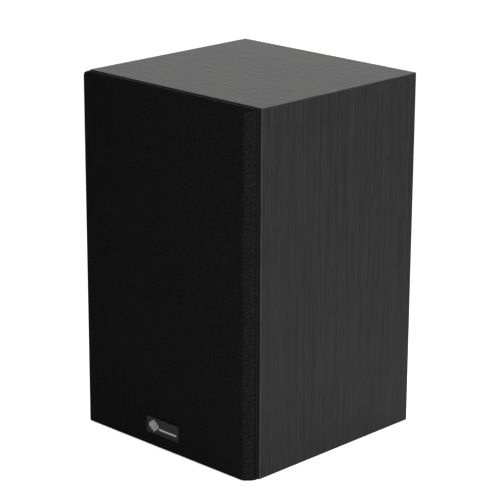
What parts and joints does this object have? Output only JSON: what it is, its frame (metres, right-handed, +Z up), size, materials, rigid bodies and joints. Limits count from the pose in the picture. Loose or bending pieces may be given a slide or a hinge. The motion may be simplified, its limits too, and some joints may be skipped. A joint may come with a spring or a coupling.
{
  "type": "bookshelf speaker",
  "caption": "Two-way ported bookshelf speaker: black-ash cabinet, pull-off cloth grille, dome tweeter over a cone woofer, binding posts in a rear cup.",
  "frame": {"origin": "on the surface it stands on, under the middle of the whole speaker's box", "axes": "+Z up, the grille faces -Y, +X is to the right for someone facing the grille"},
  "size_m": [0.212, 0.2182, 0.33],
  "materials": {
    "wrap": "satin black-ash foil on fibreboard",
    "rear_wrap": "matt black foil on fibreboard",
    "baffle_black": "matt black paint on fibreboard",
    "grille_board": "black-stained fibreboard",
    "grille_fabric": "black woven polyester",
    "badge_plate": "black anodised with bright edges",
    "peg_plastic": "moulded nylon",
    "socket_rubber": "moulded rubber",
    "basket_paint": "black powder coat",
    "gasket_rubber": "matt rubber",
    "surround_rubber": "satin rubber",
    "cone_paper": "coated pulp",
    "cap_paper": "coated pulp",
    "former_foil": "thin foil",
    "copper_winding": "enamelled copper wire",
    "spider_cloth": "resin-dipped cloth",
    "zinc_steel": "zinc plate",
    "ferrite": "ground ferrite",
    "terminal_board": "phenolic board with tinned tags",
    "tinsel": "braided tinsel",
    "black_screws": "black oxide",
    "faceplate_plastic": "fine-textured moulding",
    "dome_silk": "coated silk",
    "port_plastic": "moulded ABS",
    "cup_plastic": "moulded ABS",
    "gasket_foam": "closed-cell foam",
    "gold_plate": "gold-coloured plate",
    "cap_red": "moulded ABS",
    "cap_black": "moulded ABS",
    "circuit_board": "paper-phenolic board",
    "spacer_nylon": "natural nylon",
    "capacitor_film": "tape-wrapped film",
    "resistor_cement": "cement-filled ceramic",
    "lead_insulation": "flexible PVC",
    "wadding": "polyester fibre"
  },
  "bodies": {
    "cabinet": {"left_panel": "wrap", "right_panel": "wrap", "top_panel": "wrap", "bottom_panel": "wrap", "rear_panel": "rear_wrap", "front_baffle": "baffle_black", "peg_sockets": "socket_rubber", "woofer_basket": "basket_paint", "woofer_gasket": "gasket_rubber", "woofer_choke": "copper_winding", "tweeter_choke": "copper_winding", "woofer_top_plate": "zinc_steel", "woofer_yoke": "zinc_steel", "tweeter_top_plate": "zinc_steel", "tweeter_yoke": "zinc_steel", "crossover_screws": "zinc_steel", "woofer_magnet": "ferrite", "tweeter_magnet": "ferrite", "woofer_terminals": "terminal_board", "tweeter_terminals": "terminal_board", "woofer_tinsel_leads": "tinsel", "woofer_screws": "black_screws", "tweeter_screws": "black_screws", "cup_screws": "black_screws", "tweeter_faceplate": "faceplate_plastic", "port_tube": "port_plastic", "terminal_cup": "cup_plastic", "cup_gasket": "gasket_foam", "red_post": "gold_plate", "black_post": "gold_plate", "post_nuts": "gold_plate", "solder_tags": "gold_plate", "crossover_board": "circuit_board", "crossover_spacers": "spacer_nylon", "woofer_capacitor": "capacitor_film", "tweeter_capacitor": "capacitor_film", "crossover_resistor": "resistor_cement", "terminal_leads": "lead_insulation", "woofer_leads": "lead_insulation", "tweeter_leads": "lead_insulation", "damping_left": "wadding", "damping_right": "wadding"},
    "grille": {"grille_frame": "grille_board", "grille_cloth": "grille_fabric", "grille_badge": "badge_plate", "grille_pegs": "peg_plastic"},
    "woofer_diaphragm": {"woofer_cone": "cone_paper", "woofer_dust_cap": "cap_paper", "woofer_former": "former_foil", "woofer_coil": "copper_winding", "woofer_surround": "surround_rubber", "woofer_spider": "spider_cloth"},
    "tweeter_diaphragm": {"tweeter_dome": "dome_silk", "tweeter_coil": "copper_winding", "tweeter_surround": "dome_silk"},
    "red_clamp": {"red_clamp_washer": "gold_plate"},
    "red_knob": {"red_cap": "cap_red"},
    "black_clamp": {"black_clamp_washer": "gold_plate"},
    "black_knob": {"black_cap": "cap_black"}
  },
  "joints": [
    {"name": "grille_pull", "type": "slide", "parent": "cabinet", "child": "grille", "axis": [0, -1, 0], "range_m": [0, 0.03]},
    {"name": "woofer_travel", "type": "slide", "parent": "cabinet", "child": "woofer_diaphragm", "axis": [0, -1, 0], "range_m": [-0.004, 0.004], "stiffness_N_per_m": 1000, "deforming": ["woofer_surround", "woofer_spider", "woofer_tinsel_leads"]},
    {"name": "tweeter_travel", "type": "slide", "parent": "cabinet", "child": "tweeter_diaphragm", "axis": [0, -1, 0], "range_m": [-0.0004, 0.0004], "stiffness_N_per_m": 1500, "deforming": ["tweeter_surround"]},
    {"name": "red_clamp_travel", "type": "slide", "parent": "cabinet", "child": "red_clamp", "axis": [0, 1, 0], "range_m": [0, 0.005]},
    {"name": "red_cap_turn", "type": "hinge", "parent": "red_clamp", "child": "red_knob", "pos_m": [0.0095, 0.0909, 0.095], "axis": [0, 1, 0], "range_deg": [0, 1800]},
    {"name": "black_clamp_travel", "type": "slide", "parent": "cabinet", "child": "black_clamp", "axis": [0, 1, 0], "range_m": [0, 0.005]},
    {"name": "black_cap_turn", "type": "hinge", "parent": "black_clamp", "child": "black_knob", "pos_m": [-0.0095, 0.0909, 0.095], "axis": [0, 1, 0], "range_deg": [0, 1800]}
  ],
  "couplings": [
    {"joint": "red_cap_turn", "follows": "red_clamp_travel", "rad_per_m": 6283},
    {"joint": "black_cap_turn", "follows": "black_clamp_travel", "rad_per_m": 6283}
  ]
}
